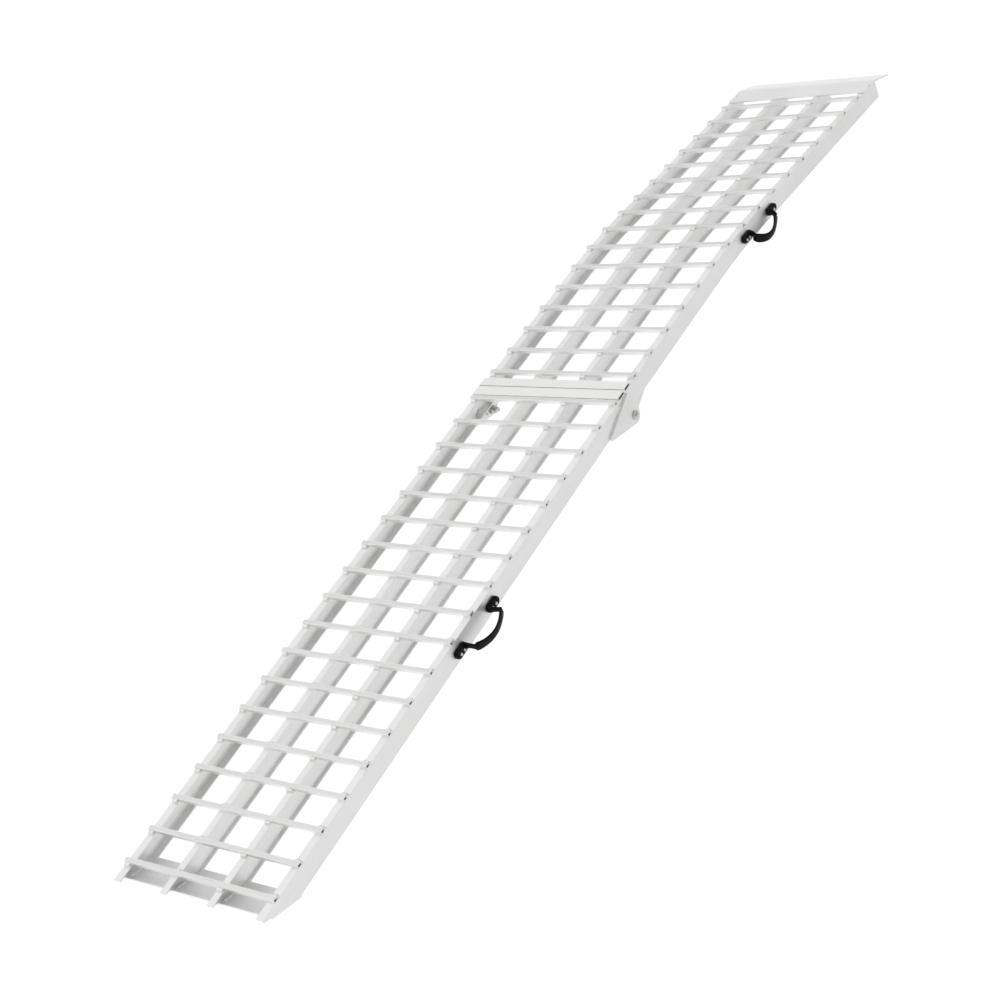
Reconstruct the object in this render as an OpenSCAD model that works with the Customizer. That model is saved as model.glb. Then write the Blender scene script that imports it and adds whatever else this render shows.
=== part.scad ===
// Folding loading ramp with a bent upper section, lying unfolded on the ground.
// X runs across the ramp, +Y runs from the ground end to the lip, +Z is up.
// The origin is under the middle of the ramp's box, on the ground.

/* [Deck] */
// Width over the lower section's outer rails
width = 305; // [280:1:360]
// Distance from one rung to the next
pitch = 59; // [55:0.5:64]
// Width of a rung, along the ramp
rung_w = 8.5; // [7:0.5:12]
// Height of a rung above the rails
rung_h = 6.4; // [5.4:0.1:8]
// Wall of the hollow rungs
rung_wall = 1.2; // [0.8:0.1:1.6]
// Rungs on the lower section
lower_rungs = 18; // [16, 17, 18]
// Rungs on the upper section
upper_rungs = 16; // [14, 15, 16]

/* [Rails] */
// Height of the rails
rail_h = 31.75; // [28:0.25:34]
// Flange width of the outer rails, which are channels
channel_w = 14.3; // [12:0.1:18]
// Flange width of the inner rails, which are I-beams
beam_w = 12.7; // [10:0.1:18]
// Wall of the rails
rail_wall = 2; // [1.6:0.1:2.6]
// Distance from the ramp's middle to an inner rail
inner_x = 47.8; // [44:0.1:56]
// Side play between the upper section and the lower hinge plates
side_play = 0.5; // [0.4:0.1:0.8]

/* [Bend] */
// Angle between the two sections' decks at the hinge
kink = 0.9; // [0.5:0.1:1.2]
// Distance from the upper section's first rung to the start of the bend
bend_start = 300; // [250:5:330]
// Radius of the bend at the rails' top
bend_r = 1500; // [1300:50:1700]
// Angle of the bend
bend_angle = 6.5; // [6:0.1:6.8]

/* [Foot] */
// Distance from the first rung to the rail tips
tip_out = 34; // [30:1:40]
// Distance from the first rung back to the heel, where the bevel starts
heel_in = 35; // [30:1:40]
// Height left on the rails at their tips
tip_h = 4; // [3:0.5:6]
// Length of the foot plate along the bevel
foot_l = 60; // [50:1:66]
// Thickness of the foot plate, the lip and the end bars' nose
plate_t = 3; // [2:0.5:4]

/* [Lip] */
// Distance from the last rung to the lip's near edge
lip_near = 26.7; // [22:0.1:32]
// Distance from the last rung to the lip's fold, just past the rail ends
lip_fold = 75; // [70:1:80]
// Length of the tongue past the fold
tongue_l = 53; // [45:1:60]
// Angle that the tongue is bent down
tongue_angle = 15.5; // [10:0.5:18]

/* [Hinge] */
// Distance from the last lower rung to the butt line
butt = 28; // [26:0.5:30]
// Distance from the last lower rung to the upper section's first rung
section_gap = 68; // [66:0.5:72]
// Pivot, past the last lower rung
pivot_u = 23; // [21:0.5:24]
// Pivot, below the rails' top
pivot_drop = 43; // [42.5:0.5:46]
// Diameter of the pivot bolts
bolt_d = 8; // [6:1:8]
// Thickness of the hinge plates
hinge_t = 4; // [3:0.5:5]

/* [Handles] */
// Distance between the middles of a handle's two feet
handle_span = 95; // [95:1:110]
// How far the lower handle's grip stands off the rail
handle_reach = 36; // [34:1:42]
// Length of a handle's foot
foot_pad_l = 30; // [28:1:34]
// Height of a handle's foot
foot_pad_h = 15; // [14:1:18]
// Height of a handle's grip
grip_h = 15; // [12:1:16]
// Lower handle, from the lower section's first rung
lower_handle_u = 525; // [480:1:560]
// Upper handle, from the upper section's first rung
upper_handle_u = 455; // [430:1:500]

/* [Hidden] */
$fn = 48;
pad = 10;              // overshoot of a cutting tool
play = 0.05;           // running clearance of the pivot bolts
half = width / 2;
upper_half = half - side_play;
lower_deck_l = (lower_rungs - 1) * pitch;
upper_deck_l = (upper_rungs - 1) * pitch;
butt_gap = 0.6;        // between the two end bars
rail_back = 1;         // the upper rails start this far behind their end bar's face
bar_near = 5.8;        // from the last lower rung to the lower end bar
upper_bar_w = 20;
bar_wall = 2.4;

// Bevel at the foot
bevel_run = tip_out + heel_in;
bevel_rise = rail_h - tip_h;
bevel_angle = atan2(bevel_rise, bevel_run);

// Upper section: straight, bent, straight. Its frame starts at its first rung.
upper_u = lower_deck_l + section_gap;
upper_start = -(section_gap - butt - butt_gap);
rail_from = upper_start + rail_back;
rail_to = upper_deck_l + lip_fold - 1;
bend_l = bend_r * bend_angle * PI / 180;
bend_stop = bend_start + bend_l;
function bent_at(s) = s < bend_start ? 0 : min(bend_angle, (s - bend_start) / bend_r * 180 / PI);
function after_bend(s) = max(0, s - bend_stop);
// Place on the rails' top line, in the upper section's frame
function deck_y(s) = min(s, bend_start) + bend_r * sin(bent_at(s)) + after_bend(s) * cos(bend_angle);
function deck_z(s) = -bend_r * (1 - cos(bent_at(s))) - after_bend(s) * sin(bend_angle);
// Place at height z above that line
function place(s, z) = [deck_y(s) + z * sin(bent_at(s)), deck_z(s) + z * cos(bent_at(s))];
bend_steps = 26;
function stations(more) = concat([rail_from - more],
    [for (i = [0:bend_steps]) bend_start + bend_l * i / bend_steps], [rail_to + more]);
// Side outline of a strip of the rails between heights z0 and z1, running past both ends by more
function strip(z0, z1, more = 0) = concat([for (s = stations(more)) place(s, z0)],
    [for (i = [bend_steps + 2:-1:0]) place(stations(more)[i], z1)]);

// The heel and the upper rails' bottom corner both rest on the ground, which sets the tilt
heel_y = heel_in - plate_t * sin(bevel_angle);
heel_z = -rail_h - plate_t * cos(bevel_angle);
end_turn = kink + bend_angle;
end_top_y = upper_u + deck_y(rail_to) * cos(kink) + deck_z(rail_to) * sin(kink);
end_top_z = -deck_y(rail_to) * sin(kink) + deck_z(rail_to) * cos(kink);
rest_y = end_top_y - rail_h * sin(end_turn);
rest_z = end_top_z - rail_h * cos(end_turn);
tilt = atan2(heel_z - rest_z, rest_y - heel_y);

// Box of the lying ramp, for the origin
ground_z = heel_y * sin(tilt) + heel_z * cos(tilt);
tip_y = -tip_out * cos(tilt);
tongue_turn = end_turn + tongue_angle;
fold_s = upper_deck_l + lip_fold;
fold_y = upper_u + deck_y(fold_s) * cos(kink) + deck_z(fold_s) * sin(kink);
fold_z = -deck_y(fold_s) * sin(kink) + deck_z(fold_s) * cos(kink);
lip_y = fold_y + tongue_l * cos(tongue_turn) + plate_t * sin(tongue_turn);
lip_z = fold_z - tongue_l * sin(tongue_turn) + plate_t * cos(tongue_turn);
far_y = lip_y * cos(tilt) - lip_z * sin(tilt);
washer_t = 1.6;
head_h = 4.5;
left_reach = half + hinge_t + washer_t + head_h;
right_reach = half + handle_reach;
centre_x = (left_reach - right_reach) / 2;
centre_y = -(tip_y + far_y) / 2;

// Fasteners
nut_h = 6.5;
side_gap = 0.3;              // between the upper hinge plates and the washers beside them
plate_back = 0.02;           // between the upper hinge plates and their rails' webs
nut_flat_r = 7.5;            // to the corners of the hexagon
thread_out = 6.6;
rivet_d = 3.2;
rivet_head_d = 5.4;
rivet_spread = 9.5;
pad_t = 6;                   // thickness of a handle's foot
tail_h = 1.2;
handle_z = -18.5;
rivet_drop = 2.5;            // of the rivets below the feet's middle
grip_t = 4;
// Grip's ends and middle from the feet's middle, [out, up]; the upper handle hangs lower
lower_grip = [[handle_reach - 7, 1.5], [handle_reach, -7]];
upper_grip = [[16.5, -8.5], [23.5, -21]];
neck_t = 4;
neck_h = 7.5;
slot_l = 15;
slot_w = 2.6;
slot_dip = 19.5;
notch_l = 58.5;              // of the upper channels' bottom flanges, for the hinge plates

RUNGS_LOWER = [for (i = [1:lower_rungs]) str("lower_rung_", i < 10 ? "0" : "", i)];
RUNGS_UPPER = [for (i = [1:upper_rungs]) str("upper_rung_", i < 10 ? "0" : "", i)];

// ---- frames ----

// The lower section's frame: its first rung at Y 0, its rails' top at Z 0
module lower_place() {
    translate([centre_x, centre_y, -ground_z]) rotate([tilt, 0, 0]) children();
}

// The upper section's frame, at its first rung
module upper_place() {
    lower_place() translate([0, upper_u, 0]) rotate([-kink, 0, 0]) children();
}

// A place along the upper section's deck line
module along_upper(s) {
    upper_place() translate([0, deck_y(s), deck_z(s)]) rotate([-bent_at(s), 0, 0]) children();
}

// The pivot's frame, X along the bolts
module pivot_place() {
    lower_place() translate([0, lower_deck_l + pivot_u, -pivot_drop]) children();
}

// Extrudes an outline of [x, z] points along +Y
module run(l) {
    translate([0, l, 0]) rotate([90, 0, 0]) linear_extrude(l) children();
}

// Extrudes an outline of [y, z] points along X, from x0 to x1
module across(x0, x1) {
    translate([x0, 0, 0]) rotate([90, 0, 90]) linear_extrude(x1 - x0) children();
}

// A cylinder along X
module pin(x0, x1, d) {
    translate([x0, 0, 0]) rotate([0, 90, 0]) cylinder(h = x1 - x0, d = d);
}

// ---- deck ----

// Hollow rung with three low grip ribs along its top
module rung(w) {
    rib_w = 1.2;
    rib_h = 0.5;
    top = rung_h - rib_h;
    rib_at = [-rung_w / 2 + rib_w, -rib_w / 2, rung_w / 2 - 2 * rib_w];
    ribs = [for (x = rib_at, k = [0:3]) [x + (k > 1 ? rib_w : 0), k % 3 == 0 ? top : rung_h]];
    across(-w, w) difference() {
        polygon(concat([[rung_w / 2, 0], [-rung_w / 2, 0], [-rung_w / 2, top]], ribs, [[rung_w / 2, top]]));
        translate([-rung_w / 2 + rung_wall, rung_wall])
            square([rung_w - 2 * rung_wall, top - 2 * rung_wall]);
    }
}

// Flat hollow bar that closes a section at the butt line
module end_bar(y0, w, x) {
    translate([0, y0, 0]) across(-x, x) difference() {
        square([w, rung_h]);
        translate([bar_wall, bar_wall / 2]) square([w - 2 * bar_wall, rung_h - bar_wall]);
    }
}

// ---- rails ----

// Channel outline, web outside; side is -1 or 1, x is the outer face
function channel_points(side, x) = [
    for (p = [[0, 0], [channel_w, 0], [channel_w, -rail_wall], [rail_wall, -rail_wall],
              [rail_wall, rail_wall - rail_h], [channel_w, rail_wall - rail_h],
              [channel_w, -rail_h], [0, -rail_h]]) [side * (x - p[0]), p[1]]];

// I-beam outline about x
function beam_points(x) = [
    for (p = [[-1, 0, 0], [1, 0, 0], [1, 0, -1], [0, 1, -1], [0, 1, 1], [1, 0, 1],
              [1, 0, 2], [-1, 0, 2], [-1, 0, 1], [0, -1, 1], [0, -1, -1], [-1, 0, -1]])
        [x + p[0] * beam_w / 2 + p[1] * rail_wall / 2,
         p[2] == 0 ? 0 : p[2] == 2 ? -rail_h : p[2] < 0 ? -rail_wall : rail_wall - rail_h]];

// Slot through an outer rail's web, dipping towards the foot
module web_slot(y, z) {
    end = (slot_l - slot_w) / 2;
    translate([0, y, z]) rotate([slot_dip, 0, 0]) across(-half - pad, half + pad) union() {
        translate([-end, -slot_w / 2]) square([2 * end, slot_w]);
        translate([-end, 0]) circle(d = slot_w);
        translate([end, 0]) circle(d = slot_w);
    }
}

// Straight lower rail, cut off along the bevel at the foot
module lower_rail(points) {
    difference() {
        translate([0, -tip_out, 0]) run(tip_out + lower_deck_l + butt) polygon(points);
        translate([-width, heel_in, -rail_h]) rotate([-bevel_angle, 0, 0])
            translate([0, -2 * bevel_run, -2 * rail_h]) cube([2 * width, 2 * bevel_run, 2 * rail_h]);
    }
}

// Bent upper rail: full height between x0 and x1, without the pockets between its flanges
module upper_rail(x0, x1, pockets) {
    difference() {
        across(x0, x1) polygon(strip(0, -rail_h));
        for (p = pockets) across(p[0], p[1]) polygon(strip(-rail_wall, rail_wall - rail_h, pad));
    }
}

// Holes through an outer rail's web for a handle's rivets
module rivet_holes() {
    for (f = [-1, 1], r = [-1, 1])
        translate([0, f * handle_span / 2 + r * rivet_spread / 2, handle_z - rivet_drop])
            pin(half - pad, half + pad, rivet_d);
}

// ---- foot and lip ----

// Plate along the bevel, which lies flat on the ground in use
module foot_plate() {
    color("gainsboro") lower_place() translate([0, heel_in, -rail_h]) rotate([-bevel_angle, 0, 0])
        translate([-half, -foot_l, -plate_t]) cube([width, foot_l, plate_t]);
}

// Bent plate on the rails' top, with its tongue turned down
module lip_plate() {
    fold = lip_fold - lip_near;
    c = cos(tongue_angle);
    s = sin(tongue_angle);
    end = [fold + tongue_l * c, -tongue_l * s];
    color("gainsboro") along_upper(upper_deck_l) translate([0, lip_near, 0])
        across(-upper_half, upper_half)
            polygon([[0, 0], [fold, 0], end, end + plate_t * [s, c],
                     [fold + plate_t * tan(tongue_angle / 2), plate_t], [0, plate_t]]);
}

// ---- hinge ----

// Lower plate, outside the rail; its outline is about the pivot
module lower_hinge_plate(side) {
    nose_r = 15;
    x0 = side > 0 ? half : -half - hinge_t;
    color("silver") pivot_place() difference() {
        across(x0, x0 + hinge_t) union() {
            circle(nose_r);
            polygon([[6, pivot_drop - 1], [-74.5, 14], [-74.5, 9], [-3, 0.3 - nose_r], [13.9, -2], [21, 16]]);
        }
        pin(x0 - pad, x0 + hinge_t + pad, bolt_d + 2 * play);
    }
}

// Upper plate, inside the rail's web; its outline is about the pivot
module upper_hinge_plate(side) {
    nose_r = 10.5;
    top = pivot_drop - rail_wall - 3;
    x1 = upper_half - rail_wall - plate_back;
    x0 = side > 0 ? x1 - hinge_t : -x1;
    color("silver") pivot_place() rotate([-kink, 0, 0]) difference() {
        across(x0, x0 + hinge_t) union() {
            circle(nose_r);
            polygon([[0, 0.1 - nose_r], [62, 13], [56, top], [6.2, top], [6.2, 10.4], [0, 10.4]]);
        }
        pin(x0 - pad, x0 + hinge_t + pad, bolt_d + 2 * play);
    }
}

// Notch in an upper channel's bottom flange, where the hinge plate comes through
module plate_notch(side) {
    x1 = upper_half - rail_wall;
    deep = hinge_t + plate_back + 0.2;
    x0 = side > 0 ? x1 - deep : -x1;
    translate([x0, rail_from - pad, -rail_h - pad]) cube([deep, notch_l + pad, pad + rail_wall + 0.2]);
}

// Places a pivot fastener on one side; its own X points outwards from the lower plate's outer face
module pivot_side(side) {
    pivot_place() mirror([side > 0 ? 0 : 1, 0, 0]) translate([half + hinge_t, 0, 0]) children();
}

// Inner faces of the upper plate and of the washer beside it, from the same place
plate_in = -2 * hinge_t - side_play - rail_wall - plate_back;
nut_x = plate_in - side_gap - washer_t;

// Domed head of diameter d, standing h tall along +X
module dome(d, h) {
    rings = 7;
    r = (h * h + d * d / 4) / (2 * h);
    spread = atan2(d / 2, r - h);
    rotate([0, 90, 0]) rotate_extrude()
        polygon(concat([[0, 0]],
            [for (i = [0:rings - 1]) let (a = spread * (1 - i / rings)) [r * sin(a), h - r + r * cos(a)]],
            [[0, h]]));
}

// Dome-head bolt
module pivot_bolt(side) {
    color("gainsboro") pivot_side(side) union() {
        translate([washer_t, 0, 0]) dome(12.5, head_h);
        pin(nut_x - nut_h - thread_out, washer_t + 1, bolt_d);
    }
}

// Hexagon nut with a bore that clears the thread
module pivot_nut(side) {
    color("silver") pivot_side(side) difference() {
        translate([nut_x - nut_h, 0, 0]) rotate([0, 90, 0]) cylinder(h = nut_h, r = nut_flat_r, $fn = 6);
        pin(nut_x - nut_h - pad, nut_x + pad, bolt_d + 2 * play);
    }
}

// One washer from x, of thickness t
module washer(x, t, d) {
    difference() {
        pin(x, x + t, d);
        pin(x - pad, x + t + pad, bolt_d + 2 * play);
    }
}

// The six washers: under each head, between the plates and under each nut
module pivot_washers() {
    spacer = side_play + rail_wall + plate_back - side_gap;
    color("silver") for (side = [-1, 1]) pivot_side(side) {
        washer(0, washer_t, 16);
        washer(-hinge_t - spacer, spacer, 14);
        washer(nut_x, washer_t, 16);
    }
}

// ---- handles ----

// Points of a bowed strip between -l and l, between the curves from + bow and to + bow
function bowed(l, bow, from, to) = concat(
    [for (i = [-8:8]) [i * l / 8, from + bow * (1 - i * i / 64)]],
    [for (i = [8:-1:-8]) [i * l / 8, to + bow * (1 - i * i / 64)]]);

// Moulded carrying handle: two feet against the rail, two necks and a grip that bows out and hangs
module handle(grip) {
    end = (foot_pad_l - foot_pad_h) / 2;
    l = handle_span / 2 - 8.5;
    x = grip[0][0];
    z = grip[0][1];
    bow = grip[1][0] - x;
    sag = z - grip[1][1];
    difference() {
        union() {
            for (f = [-1, 1]) {
                translate([0, f * handle_span / 2, 0]) across(0, pad_t) union() {
                    translate([-end, -foot_pad_h / 2]) square([2 * end, foot_pad_h]);
                    translate([-end, 0]) circle(d = foot_pad_h);
                    translate([end, 0]) circle(d = foot_pad_h);
                }
                translate([0, f * (l - neck_t / 2) - neck_t / 2, 0]) run(neck_t)
                    polygon([[0, 1 + neck_h / 2], [0, 1 - neck_h / 2], [5, 1 - neck_h / 2],
                             [x - 1, z - neck_h / 2], [x - 1, z + neck_h / 2], [9, 1 + neck_h / 2]]);
            }
            intersection() {
                translate([0, 0, -4 * grip_h]) linear_extrude(8 * grip_h)
                    polygon([for (p = bowed(l, bow, x, x - grip_t)) [p[1], p[0]]]);
                across(0, handle_reach + pad)
                    polygon(bowed(l + 1, -sag, z + grip_h / 2, z - grip_h / 2));
            }
        }
        translate([-half, 0, -handle_z]) rivet_holes();
    }
}

// Four rivets, each a domed head, a shank through foot and web, and a clenched tail
module handle_rivets() {
    for (f = [-1, 1], r = [-1, 1])
        translate([0, f * handle_span / 2 + r * rivet_spread / 2, -rivet_drop]) union() {
            translate([pad_t, 0, 0]) dome(rivet_head_d, 1.6);
            pin(-rail_wall - tail_h, pad_t + 0.5, rivet_d - 0.04);
            pin(-rail_wall - tail_h, -rail_wall, rivet_d + 1.6);
        }
}

// ---- assembly ----

module lower_rung(i) {
    color("whitesmoke") lower_place() translate([0, (i - 1) * pitch, 0]) rung(half);
}

module upper_rung(i) {
    color("whitesmoke") along_upper((i - 1) * pitch) rung(upper_half);
}

module lower_rail_outer(side) {
    color("gainsboro") lower_place() difference() {
        lower_rail(channel_points(side, half));
        if (side > 0) web_slot(lower_deck_l - 1.5, -9.5);
        else web_slot(lower_deck_l - 5, -25.5);
        if (side > 0) translate([0, lower_handle_u, 0]) rivet_holes();
    }
}

module lower_rail_inner(side) {
    color("gainsboro") lower_place() lower_rail(beam_points(side * inner_x));
}

module upper_rail_outer(side) {
    web = upper_half - rail_wall;
    x0 = side > 0 ? upper_half - channel_w : -upper_half;
    pocket = side > 0 ? [x0 - pad, web] : [-web, x0 + channel_w + pad];
    color("gainsboro") difference() {
        upper_place() difference() {
            upper_rail(x0, x0 + channel_w, [pocket]);
            plate_notch(side);
        }
        if (side > 0) along_upper(upper_handle_u) rivet_holes();
    }
}

module upper_rail_inner(side) {
    x = side * inner_x;
    pockets = [[x - beam_w, x - rail_wall / 2], [x + rail_wall / 2, x + beam_w]];
    color("gainsboro") upper_place() upper_rail(x - beam_w / 2, x + beam_w / 2, pockets);
}

module lower_end_bar() {
    color("whitesmoke") lower_place() end_bar(lower_deck_l + bar_near, butt - bar_near, half);
}

module upper_end_bar() {
    color("whitesmoke") upper_place() end_bar(upper_start, upper_bar_w, upper_half);
}

module lower_handle() {
    color("black") lower_place() translate([half, lower_handle_u, handle_z]) handle(lower_grip);
}

module lower_handle_rivets() {
    color("silver") lower_place() translate([half, lower_handle_u, handle_z]) handle_rivets();
}

module upper_handle() {
    color("black") along_upper(upper_handle_u) translate([upper_half, 0, handle_z]) handle(upper_grip);
}

module upper_handle_rivets() {
    color("silver") along_upper(upper_handle_u) translate([upper_half, 0, handle_z]) handle_rivets();
}

for (i = [1:lower_rungs])
    lower_rung(i);
lower_rail_outer(-1);  // lower_rail_left
lower_rail_inner(-1);  // lower_rail_inner_left
lower_rail_inner(1);  // lower_rail_inner_right
lower_rail_outer(1);  // lower_rail_right
lower_end_bar();
foot_plate();
lower_hinge_plate(-1);  // lower_hinge_plate_left
lower_hinge_plate(1);  // lower_hinge_plate_right
pivot_bolt(-1);  // pivot_bolt_left
pivot_bolt(1);  // pivot_bolt_right
pivot_nut(-1);  // pivot_nut_left
pivot_nut(1);  // pivot_nut_right
pivot_washers();
lower_handle();
lower_handle_rivets();
for (i = [1:upper_rungs])
    upper_rung(i);
upper_rail_outer(-1);  // upper_rail_left
upper_rail_inner(-1);  // upper_rail_inner_left
upper_rail_inner(1);  // upper_rail_inner_right
upper_rail_outer(1);  // upper_rail_right
upper_end_bar();
lip_plate();
upper_hinge_plate(-1);  // upper_hinge_plate_left
upper_hinge_plate(1);  // upper_hinge_plate_right
upper_handle();
upper_handle_rivets();
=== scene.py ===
import math
import random

import bpy
from mathutils import Euler, Matrix, Vector


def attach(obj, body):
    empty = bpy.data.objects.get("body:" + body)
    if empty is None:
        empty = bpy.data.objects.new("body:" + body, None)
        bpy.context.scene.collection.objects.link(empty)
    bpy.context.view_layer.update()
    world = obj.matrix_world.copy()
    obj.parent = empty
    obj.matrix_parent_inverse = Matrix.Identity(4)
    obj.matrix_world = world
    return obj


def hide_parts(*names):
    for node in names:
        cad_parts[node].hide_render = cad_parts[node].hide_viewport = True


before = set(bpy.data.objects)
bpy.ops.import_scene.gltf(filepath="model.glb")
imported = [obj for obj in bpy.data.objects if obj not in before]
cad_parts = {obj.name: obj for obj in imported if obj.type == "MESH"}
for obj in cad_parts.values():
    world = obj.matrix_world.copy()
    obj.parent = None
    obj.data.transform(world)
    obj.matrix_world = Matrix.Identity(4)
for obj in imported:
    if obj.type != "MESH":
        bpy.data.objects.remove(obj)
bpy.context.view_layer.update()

MM = 0.001
random.seed(7)

# ---- the ramp's frames: X across, Y along the deck from a section's first rung, Z above the rails' top ----

PITCH, RUNG_W = 59.0, 8.5
LOWER_RUNGS, UPPER_RUNGS = 18, 16
HALF, UPPER_HALF, INNER_X = 152.5, 152.0, 47.8
RAIL_H, CHANNEL_W, BEAM_W, WALL = 31.75, 14.3, 12.7, 2.0
BEND_START, BEND_R, BEND_ANGLE = 300.0, 1500.0, math.radians(6.5)
KINK, TILT = math.radians(0.9), math.radians(2.216818)
LOWER_L, UPPER_L = (LOWER_RUNGS - 1) * PITCH, (UPPER_RUNGS - 1) * PITCH
SECTION_GAP = 68.0
UPPER_Y = LOWER_L + SECTION_GAP
BASE = Vector((-12.95, -1022.2987, 33.19695))
HEEL = Vector((0, 35.0, -RAIL_H))
TIP_H, BEVEL_L = 4.0, 69.0
BEVEL = math.atan2(RAIL_H - TIP_H, BEVEL_L)
PIVOT = Vector((0, LOWER_L + 23.0, -43.0))
LOWER_HANDLE_Y, UPPER_HANDLE_S, HANDLE_Z, FOOT_Y, FOOT_R = 525.0, 455.0, -18.5, 47.5, 7.5
RAILS = (-HALF + CHANNEL_W / 2, -INNER_X, INNER_X, HALF - CHANNEL_W / 2)

LOWER = Matrix.Scale(MM, 4) @ Matrix.Translation(BASE) @ Matrix.Rotation(TILT, 4, "X")
UPPER = LOWER @ Matrix.Translation((0, UPPER_Y, 0)) @ Matrix.Rotation(-KINK, 4, "X")


def deck(s):
    """The upper section's frame at distance s from its first rung, along its bent deck."""
    turn = min(max(s - BEND_START, 0) / BEND_R, BEND_ANGLE)
    rest = max(0, s - BEND_START - BEND_R * BEND_ANGLE)
    y = min(s, BEND_START) + BEND_R * math.sin(turn) + rest * math.cos(turn)
    z = -BEND_R * (1 - math.cos(turn)) - rest * math.sin(turn)
    return UPPER @ Matrix.Translation((0, y, z)) @ Matrix.Rotation(-turn, 4, "X")


# ---- materials ----

def srgb(code):
    """Linear colour of an sRGB hex code."""
    parts = [int(code[i:i + 2], 16) / 255 for i in (1, 3, 5)]
    return [c / 12.92 if c <= 0.04045 else ((c + 0.055) / 1.055) ** 2.4 for c in parts] + [1.0]


def add(tree, kind, inputs=None, **settings):
    """Adds a node, sets its properties, and sets or links its inputs."""
    n = tree.nodes.new(kind)
    for key, value in settings.items():
        setattr(n, key, value)
    for key, value in (inputs or {}).items():
        if isinstance(value, bpy.types.NodeSocket):
            tree.links.new(value, n.inputs[key])
        else:
            n.inputs[key].default_value = value
    return n


def new_material(name):
    m = bpy.data.materials.new(name)
    m.use_nodes = True
    m.node_tree.nodes.clear()
    return m, m.node_tree


def noise(tree, vector, scale, detail=3.0, rough=0.55):
    return add(tree, "ShaderNodeTexNoise", {"Vector": vector, "Scale": scale, "Detail": detail,
                                            "Roughness": rough}).outputs["Fac"]


def remap(tree, value, a, b, lo, hi):
    return add(tree, "ShaderNodeMapRange", {"Value": value, "From Min": a, "From Max": b,
                                            "To Min": lo, "To Max": hi}).outputs["Result"]


def mix_colour(tree, fac, a, b):
    n = add(tree, "ShaderNodeMix", data_type="RGBA")
    for key, value in ((0, fac), (6, a), (7, b)):
        if isinstance(value, bpy.types.NodeSocket):
            tree.links.new(value, n.inputs[key])
        else:
            n.inputs[key].default_value = value
    return n.outputs[2]


def maths(tree, op, a, b=0.0):
    n = add(tree, "ShaderNodeMath", operation=op)
    for key, value in ((0, a), (1, b)):
        if isinstance(value, bpy.types.NodeSocket):
            tree.links.new(value, n.inputs[key])
        else:
            n.inputs[key].default_value = value
    return n.outputs[0]


def metal(name, light, dark, along, rough, line_mm=0.6, lines=0.05, clouds=9.0, scuffs=0.5, edge_mm=0.45,
          corner_shade="#b8b8b9"):
    """Bare metal: die or roll lines along one axis, a cloudy oxide, scuffs, softened edges, and painted shade
    darkening its corners.
    """
    m, t = new_material(name)
    coord = add(t, "ShaderNodeTexCoord").outputs["Object"]
    stretch = [1000 / line_mm] * 3
    stretch["XYZ".index(along)] = 7.0
    drawn = add(t, "ShaderNodeMapping", {"Vector": coord, "Scale": stretch}).outputs["Vector"]
    fine = noise(t, drawn, 1.0, 4.0, 0.65)
    broad = [v / 7 for v in stretch]
    broad["XYZ".index(along)] = 2.0
    wide = add(t, "ShaderNodeMapping", {"Vector": coord, "Scale": broad}).outputs["Vector"]
    bands = noise(t, wide, 1.0, 2.0)
    cloud = noise(t, coord, clouds, 5.0, 0.6)
    # short bright scratches, where cargo and boots have rubbed
    crossed = add(t, "ShaderNodeMapping", {"Vector": coord, "Rotation": (0.3, 0.2, 0.7),
                                           "Scale": (900, 45, 300)}).outputs["Vector"]
    scratch = remap(t, noise(t, crossed, 1.0, 2.0, 0.5), 0.64, 0.72, 0.0, 1.0)
    where = remap(t, noise(t, coord, 17.0, 2.0), 0.48, 0.66, 0.0, scuffs)
    scratch = maths(t, "MULTIPLY", scratch, where)
    tone = maths(t, "ADD", maths(t, "MULTIPLY", cloud, 0.7), maths(t, "MULTIPLY", bands, 0.3))
    base = mix_colour(t, remap(t, tone, 0.35, 0.65, 0.0, 1.0), srgb(dark), srgb(light))
    base = mix_colour(t, scratch, base, srgb("#fbfbfb"))
    # painted shade in the corners: the colour darkens where ambient occlusion finds nearby surfaces, so that
    # joints and gaps read as dark lines
    corner = add(t, "ShaderNodeAmbientOcclusion", {"Distance": 0.004}, samples=6).outputs["AO"]
    base = mix_colour(t, remap(t, corner, 0.1, 0.45, 0.0, 1.0), srgb(corner_shade), base)
    roughness = maths(t, "ADD", remap(t, fine, 0.3, 0.7, rough - 0.05, rough + 0.05),
                      remap(t, cloud, 0.3, 0.7, -0.05, 0.06))
    rounded = add(t, "ShaderNodeBevel", {"Radius": edge_mm * MM}, samples=4).outputs["Normal"]
    height = maths(t, "ADD", fine, maths(t, "MULTIPLY", scratch, -0.6))
    normal = add(t, "ShaderNodeBump", {"Height": height, "Strength": lines, "Distance": 0.0004,
                                       "Normal": rounded}).outputs["Normal"]
    bsdf = add(t, "ShaderNodeBsdfPrincipled", {"Base Color": base, "Metallic": 1.0, "Roughness": roughness,
                                               "Normal": normal})
    add(t, "ShaderNodeOutputMaterial", {"Surface": bsdf.outputs["BSDF"]})
    return m


def rubber(name):
    """Moulded black rubber: near black, satin, a fine grain, and greyer where a hand has polished it."""
    m, t = new_material(name)
    coord = add(t, "ShaderNodeTexCoord").outputs["Object"]
    grain = noise(t, coord, 1400.0, 3.0, 0.6)
    worn = remap(t, noise(t, coord, 38.0, 4.0), 0.45, 0.7, 0.0, 0.5)
    base = mix_colour(t, worn, srgb("#040404"), srgb("#101010"))
    bump = add(t, "ShaderNodeBump", {"Height": grain, "Strength": 0.25, "Distance": 0.0002}).outputs["Normal"]
    bsdf = add(t, "ShaderNodeBsdfPrincipled", {"Base Color": base, "Normal": bump,
                                               "Specular IOR Level": 0.14,
                                               "Roughness": remap(t, worn, 0.0, 0.5, 0.6, 0.45)})
    add(t, "ShaderNodeOutputMaterial", {"Surface": bsdf.outputs["BSDF"]})
    return m
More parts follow.
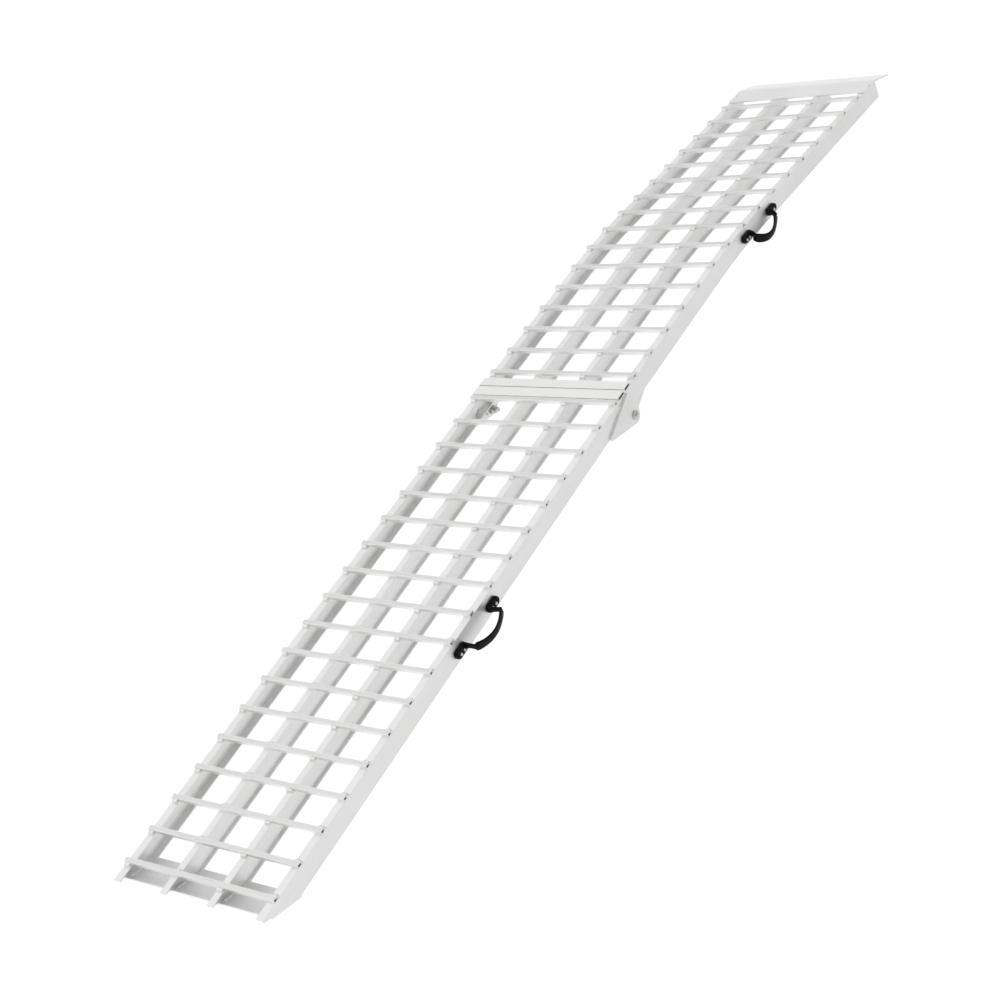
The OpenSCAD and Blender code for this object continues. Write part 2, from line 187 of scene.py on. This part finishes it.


# Every metal's corners are darkened by painted shade; the darker colours passed below for some metals are
# that shade's colour.
# Mill-finish extrusion: satin neutral grey with long die lines, so the rails read as drawn, not as painted
RAIL = metal("mill_finish_rail_extrusion", "#fbfbfb", "#f3f3f2", "Y", 0.50, 0.7, 0.05)
# The same alloy drawn the other way: the rungs catch a slightly brighter, wider highlight
RUNG = metal("mill_finish_rung_extrusion", "#fbfbfa", "#f4f4f3", "X", 0.46, 0.5, 0.05, scuffs=0.7,
             edge_mm=0.5, corner_shade="#7c7c7d")
# Rolled plate: smoother than the extrusions, with faint rolling lines across
PLATE = metal("rolled_aluminium_plate", "#fafafa", "#f2f2f2", "X", 0.42, 1.1, 0.04, clouds=6.0)
# Cut edges of the hinge plates show short grinding lines
HINGE = metal("ground_aluminium_plate", "#f7f7f6", "#ebebea", "Z", 0.42, 0.5, 0.07, clouds=22.0, edge_mm=0.6)
# Bright zinc on steel: colder, darker and sharper than the aluminium round it
ZINC = metal("bright_zinc_plated_steel", "#d9dbdd", "#bcbec1", "X", 0.26, 0.4, 0.04, clouds=60.0, edge_mm=0.3,
             corner_shade="#3c3c3e")
# Clenched rivet heads, brighter than the black rubber they sit on by far
RIVET = metal("rivet_aluminium", "#e6e6e6", "#d0d0d0", "X", 0.30, 0.4, 0.03, clouds=90.0, edge_mm=0.2,
              corner_shade="#4a4a4b")
# Fresh weld beads: the shiniest metal here, rippled and nearly white, with painted shade darkening the toe
BEAD = metal("aluminium_weld_bead", "#fbfbfa", "#efefee", "Z", 0.30, 0.9, 0.06, clouds=140.0, scuffs=0.0,
             edge_mm=0.1, corner_shade="#6a6a6a")
RUBBER = rubber("moulded_black_rubber")

BY_NAME = (("rivets", RIVET), ("handle", RUBBER), ("rung", RUNG), ("end_bar", RUNG), ("rail", RAIL),
           ("hinge_plate", HINGE), ("pivot", ZINC), ("", PLATE))
for name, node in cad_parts.items():
    material = next(m for key, m in BY_NAME if key in name)
    for s in node.material_slots:
        s.material = material


# ---- meshes ----

def make(name, verts, faces, material, body, smooth=True):
    mesh = bpy.data.meshes.new(name)
    mesh.from_pydata(verts, [], faces)
    mesh.materials.append(material)
    mesh.validate()
    mesh.update()
    if smooth:
        mesh.shade_smooth()
    obj = bpy.data.objects.new(name, mesh)
    bpy.context.scene.collection.objects.link(obj)
    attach(obj, body)
    return obj


def rounded_section(w, h, r, steps=3):
    """Outline of a w by h rectangle with rounded corners, about the origin, counter-clockwise."""
    pts = []
    for cx, cy, a0 in ((1, 1, 0), (-1, 1, 90), (-1, -1, 180), (1, -1, 270)):
        for i in range(steps + 1):
            a = math.radians(a0 + 90 * i / steps)
            pts.append((cx * (w / 2 - r) + r * math.cos(a), cy * (h / 2 - r) + r * math.sin(a)))
    return pts


# ---- weld beads, laid by a geometry-nodes group along seam lines ----

RIPPLE_SPACING, BEAD_RADIUS, UNEVENNESS = 0.0016, 0.0022, 0.16


def bead_group():
    """Lays overlapping ripples along every edge of the input mesh."""
    g = bpy.data.node_groups.new("weld_beads", "GeometryNodeTree")
    face = g.interface
    for name, kind, value in (("Seams", "NodeSocketGeometry", None),
                              ("Ripple Spacing", "NodeSocketFloat", RIPPLE_SPACING),
                              ("Bead Radius", "NodeSocketFloat", BEAD_RADIUS),
                              ("Unevenness", "NodeSocketFloat", UNEVENNESS),
                              ("Seed", "NodeSocketInt", 3),
                              ("Bead Material", "NodeSocketMaterial", BEAD)):
        s = face.new_socket(name, in_out="INPUT", socket_type=kind)
        if value is not None:
            s.default_value = value
    face.new_socket("Beads", in_out="OUTPUT", socket_type="NodeSocketGeometry")
    src = add(g, "NodeGroupInput").outputs
    curve = add(g, "GeometryNodeMeshToCurve", {"Mesh": src["Seams"]})
    points = add(g, "GeometryNodeResampleCurve", {"Curve": curve.outputs["Curve"],
                                                  "Length": src["Ripple Spacing"]}, mode="LENGTH")
    size = add(g, "GeometryNodeInputNamedAttribute", {"Name": "bead_size"}, data_type="FLOAT")
    tangent = add(g, "GeometryNodeInputTangent").outputs["Tangent"]
    turn = add(g, "FunctionNodeAlignRotationToVector", {"Vector": tangent}, axis="X")
    least = maths(g, "SUBTRACT", 1.0, src["Unevenness"])
    most = maths(g, "ADD", 1.0, src["Unevenness"])
    vary = add(g, "FunctionNodeRandomValue", {2: least, 3: most, "Seed": src["Seed"]}, data_type="FLOAT")
    radius = maths(g, "MULTIPLY", src["Bead Radius"], vary.outputs[1])
    radius = maths(g, "MULTIPLY", radius, size.outputs["Attribute"])
    thin = maths(g, "MULTIPLY", radius, 0.72)
    scale = add(g, "ShaderNodeCombineXYZ", {"X": thin, "Y": radius, "Z": radius}).outputs[0]
    ball = add(g, "GeometryNodeMeshUVSphere", {"Segments": 10, "Rings": 6, "Radius": 1.0})
    laid = add(g, "GeometryNodeInstanceOnPoints", {"Points": points.outputs["Curve"],
                                                   "Instance": ball.outputs["Mesh"],
                                                   "Rotation": turn.outputs["Rotation"], "Scale": scale})
    real = add(g, "GeometryNodeRealizeInstances", {"Geometry": laid.outputs["Instances"]})
    smooth = add(g, "GeometryNodeSetShadeSmooth", {"Geometry": real.outputs["Geometry"]})
    painted = add(g, "GeometryNodeSetMaterial", {"Geometry": smooth.outputs["Geometry"],
                                                 "Material": src["Bead Material"]})
    add(g, "NodeGroupOutput", {"Beads": painted.outputs["Geometry"]})
    return g


BEADS = bead_group()


def lay_beads(name, seams, body, seed):
    """Turns seams, each a list of points in metres with a size, into one plain mesh of beads."""
    verts, edges, sizes = [], [], []
    for size, line in seams:
        edges += [(len(verts) + i, len(verts) + i + 1) for i in range(len(line) - 1)]
        verts += [tuple(p) for p in line]
        sizes += [size] * len(line)
    mesh = bpy.data.meshes.new(name + "_seams")
    mesh.from_pydata(verts, edges, [])
    mesh.attributes.new("bead_size", "FLOAT", "POINT").data.foreach_set("value", sizes)
    guide = bpy.data.objects.new(name + "_seams", mesh)
    bpy.context.scene.collection.objects.link(guide)
    mod = guide.modifiers.new("beads", "NODES")
    mod.node_group = BEADS
    ids = {s.name: s.identifier for s in BEADS.interface.items_tree if s.in_out == "INPUT"}
    for key, value in (("Ripple Spacing", RIPPLE_SPACING), ("Bead Radius", BEAD_RADIUS),
                       ("Unevenness", UNEVENNESS), ("Seed", seed), ("Bead Material", BEAD)):
        mod[ids[key]] = value
    bpy.context.view_layer.update()
    shape = guide.evaluated_get(bpy.context.evaluated_depsgraph_get())
    laid = bpy.data.meshes.new_from_object(shape)
    bpy.data.objects.remove(guide)
    laid.name = name
    obj = bpy.data.objects.new(name, laid)
    bpy.context.scene.collection.objects.link(obj)
    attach(obj, body)


def line(matrix, a, b, size=1.0):
    """A seam from a to b, in millimetres in a section's frame."""
    return (size, [matrix @ Vector(a), matrix @ Vector(b)])


def rung_seams(place, half):
    """One bead at each crossing, on the ground side at every other rail and on the far side at the rest."""
    seams = []
    for r, x in enumerate(RAILS):
        side = -1 if r % 2 == 0 else 1
        x = math.copysign(half - CHANNEL_W / 2, x) if abs(x) > 100 else x
        slack = random.uniform(-0.8, 0.8)
        y = side * (RUNG_W / 2 + 0.9)
        a, b = (x - 3.8 + slack, y, 0.6), (x + 3.8 + slack, y, 0.6)
        seams.append(line(place, a, b, random.uniform(1.75, 2.05)))
    return seams


lower_seams, upper_seams = [], []
for i in range(LOWER_RUNGS):
    lower_seams += rung_seams(LOWER @ Matrix.Translation((0, i * PITCH, 0)), HALF)
for i in range(UPPER_RUNGS):
    upper_seams += rung_seams(deck(i * PITCH), UPPER_HALF)

# End bars, along their outer sides at every rail
for x in RAILS:
    lower_seams.append(line(LOWER, (x - 4.5, LOWER_L + 5.2, 0.5), (x + 4.5, LOWER_L + 5.2, 0.5), 0.8))
    upper_seams.append(line(UPPER, (x - 4.5, -18.9, 0.5), (x + 4.5, -18.9, 0.5), 0.8))
    upper_seams.append(line(deck(UPPER_L), (x - 4.5, 26.2, 0.4), (x + 4.5, 26.2, 0.4), 0.8))

# The last lower rung is closed against its end bar by one fine bead
lower_seams.append(line(LOWER, (-HALF + 1, LOWER_L + 4.8, 5.5), (HALF - 1, LOWER_L + 4.8, 5.5), 0.45))

# The lip plate is tacked down near the rails' far ends
for s in (-1, 1):
    x = s * (UPPER_HALF - 4)
    upper_seams.append(line(deck(UPPER_L), (x, 50, 1.5), (x, 55, 1.5), 1.4))

# Foot plate: short beads beside each rail at the heel
foot = LOWER @ Matrix.Translation(HEEL) @ Matrix.Rotation(-BEVEL, 4, "X")
for x in RAILS:
    for s in (-1, 1):
        edge = x + s * BEAM_W / 2
        if abs(edge) < HALF - 1:
            lower_seams.append(line(foot, (edge, -52, 0.3), (edge, -30, 0.3), 0.8))

# Hinge plates: a bead along each lower plate's upper edge, and at the top of each upper plate
for s in (-1, 1):
    x = s * (HALF + 0.5)
    a, b = PIVOT + Vector((x, -73, 14.9)), PIVOT + Vector((x, -2, 39.6))
    lower_seams.append(line(LOWER, a, b, 0.75))
    x = s * (UPPER_HALF - WALL - 4.5)
    upper_seams.append(line(UPPER, (x, -30, -3.6), (x, 8, -3.6), 0.7))

lay_beads("lower_welds", lower_seams, "lower_section", 3)
lay_beads("upper_welds", upper_seams, "upper_section", 11)


# ---- carrying handles ----

def handle_path(necks, end, middle):
    """Middle line of the loop: (x out, y along, z up, thickness, height, its wide face's lean in degrees)."""
    half = list(necks)
    steps, half_grip, thick, tall = 40, 34.4, 3.7, 15.6
    for i in range(steps + 1):
        left = 1 - i / steps
        x, z, lean = (m + (e - m) * left ** 2 for e, m in zip(end, middle))
        half.append((x, half_grip * left, z, thick, tall, lean))
    return half + [(x, -y, z, w, h, lean) for x, y, z, w, h, lean in reversed(half[:-1])]


LOWER_LOOP = handle_path([(1.0, 36.7, 0.0, 5.6, 12.5, 0.0), (6.0, 36.8, 0.4, 5.4, 10.4, 0.0),
                          (11.0, 37.0, 0.8, 5.0, 8.8, 0.0), (18.0, 37.5, 1.3, 4.8, 8.0, 3.0),
                          (23.0, 38.0, 1.5, 4.8, 8.6, 6.0), (25.6, 37.8, 1.4, 4.8, 10.0, 8.0),
                          (26.6, 37.2, 1.3, 4.6, 15.0, 9.0)], (27.9, 0.0, 12.0), (33.7, -7.1, 20.0))
UPPER_LOOP = handle_path([(1.0, 36.7, 1.4, 5.8, 12.5, 0.0), (5.0, 36.8, 2.0, 5.6, 11.0, 0.0),
                          (8.6, 37.0, 1.6, 5.0, 8.6, 0.0), (11.6, 37.4, -1.0, 4.8, 8.0, 4.0),
                          (13.4, 37.7, -4.4, 4.8, 9.0, 8.0), (14.2, 37.4, -6.8, 4.8, 14.6, 2.0)],
                         (15.0, -9.8, 0.0), (20.4, -22.4, 20.0))


def handle_mesh(name, path, place, body, node):
    """Feet with a rounded rim, necks that widen into the grip, and a ribbed grip that hangs a little."""
    verts, faces = [], []

    def loft(rings):
        start, n = len(verts), len(rings[0])
        for ring in rings:
            verts.extend(tuple(place @ Vector(p)) for p in ring)
        for r in range(len(rings) - 1):
            for k in range(n):
                a, b = start + r * n + k, start + r * n + (k + 1) % n
                faces.append((a, b, b + n, a + n))
        faces.append(tuple(start + k for k in reversed(range(n))))
        faces.append(tuple(start + (len(rings) - 1) * n + k for k in range(n)))

    fine = []
    for a, b in zip(path, path[1:]):
        steps = max(1, round(math.dist(a[:3], b[:3]) / 0.5))
        fine += [tuple(a[k] + (b[k] - a[k]) * i / steps for k in range(6)) for i in range(steps)]
    fine.append(path[-1])
    length, rings = 0.0, []
    for i, (x, y, z, w, h, lean) in enumerate(fine):
        before, after = fine[max(i - 2, 0)], fine[min(i + 2, len(fine) - 1)]
        tangent = (Vector(after[:3]) - Vector(before[:3])).normalized()
        wide = Vector((math.sin(math.radians(lean)), 0, math.cos(math.radians(lean))))
        side = wide.cross(tangent).normalized()
        wide = tangent.cross(side)
        if i:
            length += math.dist(fine[i - 1][:3], (x, y, z))
        grip = min(1.0, max(0.0, (29.0 - abs(y)) / 3.0))
        ridge = 0.5 * grip * (0.5 + 0.5 * math.cos(2 * math.pi * length / 3.6))
        section = rounded_section(w - 0.6 * grip + 1.2 * ridge, h - 0.4 * grip + ridge, min(w, h) * 0.36)
        rings.append([Vector((x, y, z)) + side * u + wide * v for u, v in section])
    loft(rings)
    for s in (-1, 1):
        rings = []
        for x, inset in ((0.0, 0.0), (4.6, 0.0), (5.4, 0.25), (5.85, 0.8), (6.0, 1.6), (6.0, 3.4)):
            r, pts = FOOT_R - inset, []
            for k in range(36):
                a = 2 * math.pi * k / 36
                y = r * math.cos(a) + (FOOT_R if math.cos(a) > 0 else -FOOT_R)
                pts.append(Vector((x, s * FOOT_Y + y, r * math.sin(a))))
            rings.append(pts)
        loft(rings)
    obj = make(name, verts, faces, RUBBER, body)
    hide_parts(node)


lower_seat = LOWER @ Matrix.Translation((HALF, LOWER_HANDLE_Y, HANDLE_Z))
upper_seat = deck(UPPER_HANDLE_S) @ Matrix.Translation((UPPER_HALF, 0, HANDLE_Z))
handle_mesh("lower_handle_moulded", LOWER_LOOP, lower_seat, "lower_section", "lower_handle")
handle_mesh("upper_handle_moulded", UPPER_LOOP, upper_seat, "upper_section", "upper_handle")


# ---- studio ----

def plane(name, size, z):
    mesh = bpy.data.meshes.new(name)
    corners = [(x * size, y * size, z) for x, y in ((-1, -1), (1, -1), (1, 1), (-1, 1))]
    mesh.from_pydata(corners, [], [(0, 1, 2, 3)])
    obj = bpy.data.objects.new(name, mesh)
    bpy.context.scene.collection.objects.link(obj)
    return obj


# Pale sheet floor: thin and translucent, so it keeps only a breath of contact shadow
floor_paint, t = new_material("pale_translucent_sheet")
pale = add(t, "ShaderNodeBsdfDiffuse", {"Color": srgb("#fafafa")})
clear = add(t, "ShaderNodeBsdfTransparent", {"Color": (1, 1, 1, 1)})
sheet = add(t, "ShaderNodeMixShader", {0: 0.12, 1: clear.outputs[0], 2: pale.outputs[0]})
add(t, "ShaderNodeOutputMaterial", {"Surface": sheet.outputs[0]})
floor = plane("floor", 6.0, -0.0005)
floor.data.materials.append(floor_paint)

world = bpy.data.worlds.new("studio")
bpy.context.scene.world = world
world.use_nodes = True
t = world.node_tree
t.nodes.clear()
way = add(t, "ShaderNodeSeparateXYZ", {"Vector": add(t, "ShaderNodeTexCoord").outputs["Generated"]}).outputs
overhead = remap(t, way["Z"], 0.35, 0.7, 0.64, 1.0)
below = remap(t, way["Z"], 0.0, 0.3, 0.46, 0.0)
handle_side = remap(t, way["X"], 0.0, 0.5, 0.0, 0.43)
glow = maths(t, "SUBTRACT", maths(t, "ADD", overhead, below), handle_side)
seen = add(t, "ShaderNodeLightPath").outputs["Is Camera Ray"]
glow = add(t, "ShaderNodeMix", {0: seen, 2: glow, 3: 1.16}, data_type="FLOAT").outputs[0]
sky = add(t, "ShaderNodeBackground", {"Color": (1, 1, 1, 1), "Strength": glow})
add(t, "ShaderNodeOutputWorld", {"Surface": sky.outputs[0]})


def soft_sun(name, towards, strength, angle):
    """A very wide sun, as even along the ramp's length as a wall of softboxes."""
    data = bpy.data.lights.new(name, "SUN")
    data.energy, data.angle = strength, math.radians(angle)
    obj = bpy.data.objects.new(name, data)
    obj.rotation_mode = "QUATERNION"
    obj.rotation_quaternion = Vector(towards).to_track_quat("Z", "Y")
    bpy.context.scene.collection.objects.link(obj)


# The key comes from the handles' side, a little below the deck's level, through the sheet
soft_sun("key", (0.88, 0.25, -0.40), 0.15, 30)
soft_sun("top", (0.3, -0.5, 0.81), 0.15, 60)

camera = bpy.data.cameras.new("camera")
camera.lens, camera.sensor_width = 70.614, 36.0
camera.clip_start, camera.clip_end = 0.05, 60.0
eye = bpy.data.objects.new("camera", camera)
bpy.context.scene.collection.objects.link(eye)
eye.location = (1.99115, -1.98007, 1.75226)
eye.rotation_euler = Euler([math.radians(a) for a in (53.94245, 22.44732, 32.90986)], "XYZ")
bpy.context.scene.camera = eye
bpy.context.scene.view_settings.view_transform = "Standard"
